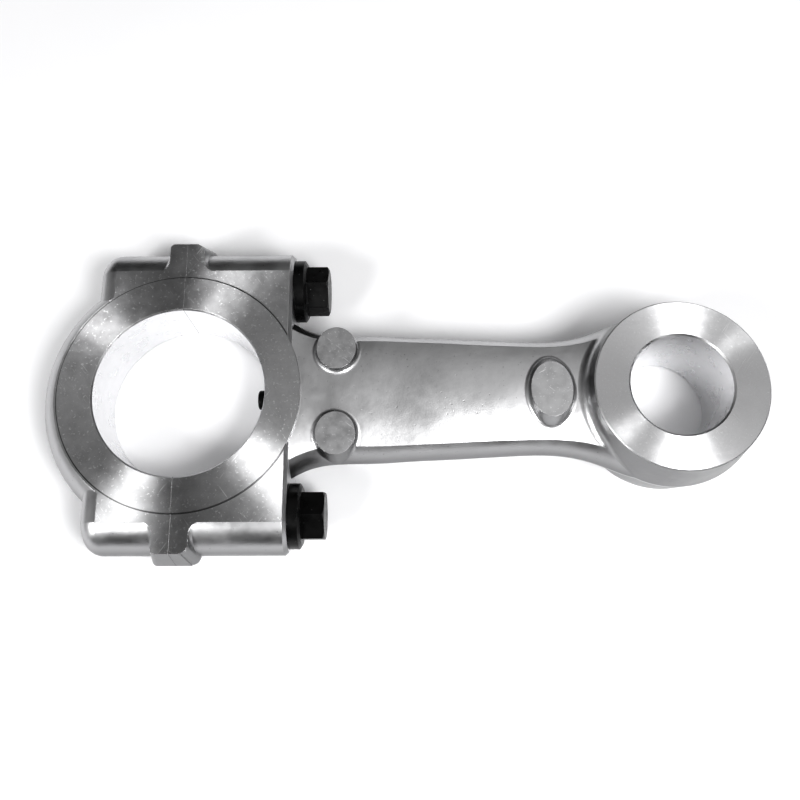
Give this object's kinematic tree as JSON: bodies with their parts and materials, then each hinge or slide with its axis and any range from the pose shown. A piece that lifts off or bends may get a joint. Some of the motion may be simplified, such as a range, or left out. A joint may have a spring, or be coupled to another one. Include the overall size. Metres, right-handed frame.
{
  "type": "connecting rod",
  "caption": "Cast aluminium connecting rod with a split big end, a cap held by flange screws on hollow dowels, and a plain small-end bore for a piston pin.",
  "frame": {"origin": "centre of the crankpin bore, at the rod's mid-thickness", "axes": "+X along the rod from the crankpin bore to the piston-pin bore, +Z along both bores, out of the side that carries the ejector pads"},
  "size_m": [0.1962, 0.0902, 0.028],
  "materials": {
    "cast_aluminium": "as-cast skin with machined faces and bores",
    "black_screw_steel": "black oxide, slightly oily",
    "dowel_steel": "bright ground steel",
    "black_pin_steel": "black hardened steel"
  },
  "bodies": {
    "rod": {"rod_body": "cast_aluminium", "locating_sleeve_upper": "dowel_steel", "locating_sleeve_lower": "dowel_steel", "shell_locating_pin": "black_pin_steel"},
    "cap": {"big_end_cap": "cast_aluminium"},
    "upper_screw": {"cap_screw_upper": "black_screw_steel"},
    "lower_screw": {"cap_screw_lower": "black_screw_steel"}
  },
  "joints": [
    {"name": "cap_lift_off", "type": "slide", "parent": "rod", "child": "cap", "axis": [-1, 0, 0], "range_m": [0, 0.03]},
    {"name": "upper_screw_withdrawal", "type": "slide", "parent": "rod", "child": "upper_screw", "axis": [1, 0, 0], "range_m": [0, 0.047]},
    {"name": "lower_screw_withdrawal", "type": "slide", "parent": "rod", "child": "lower_screw", "axis": [1, 0, 0], "range_m": [0, 0.047]}
  ]
}
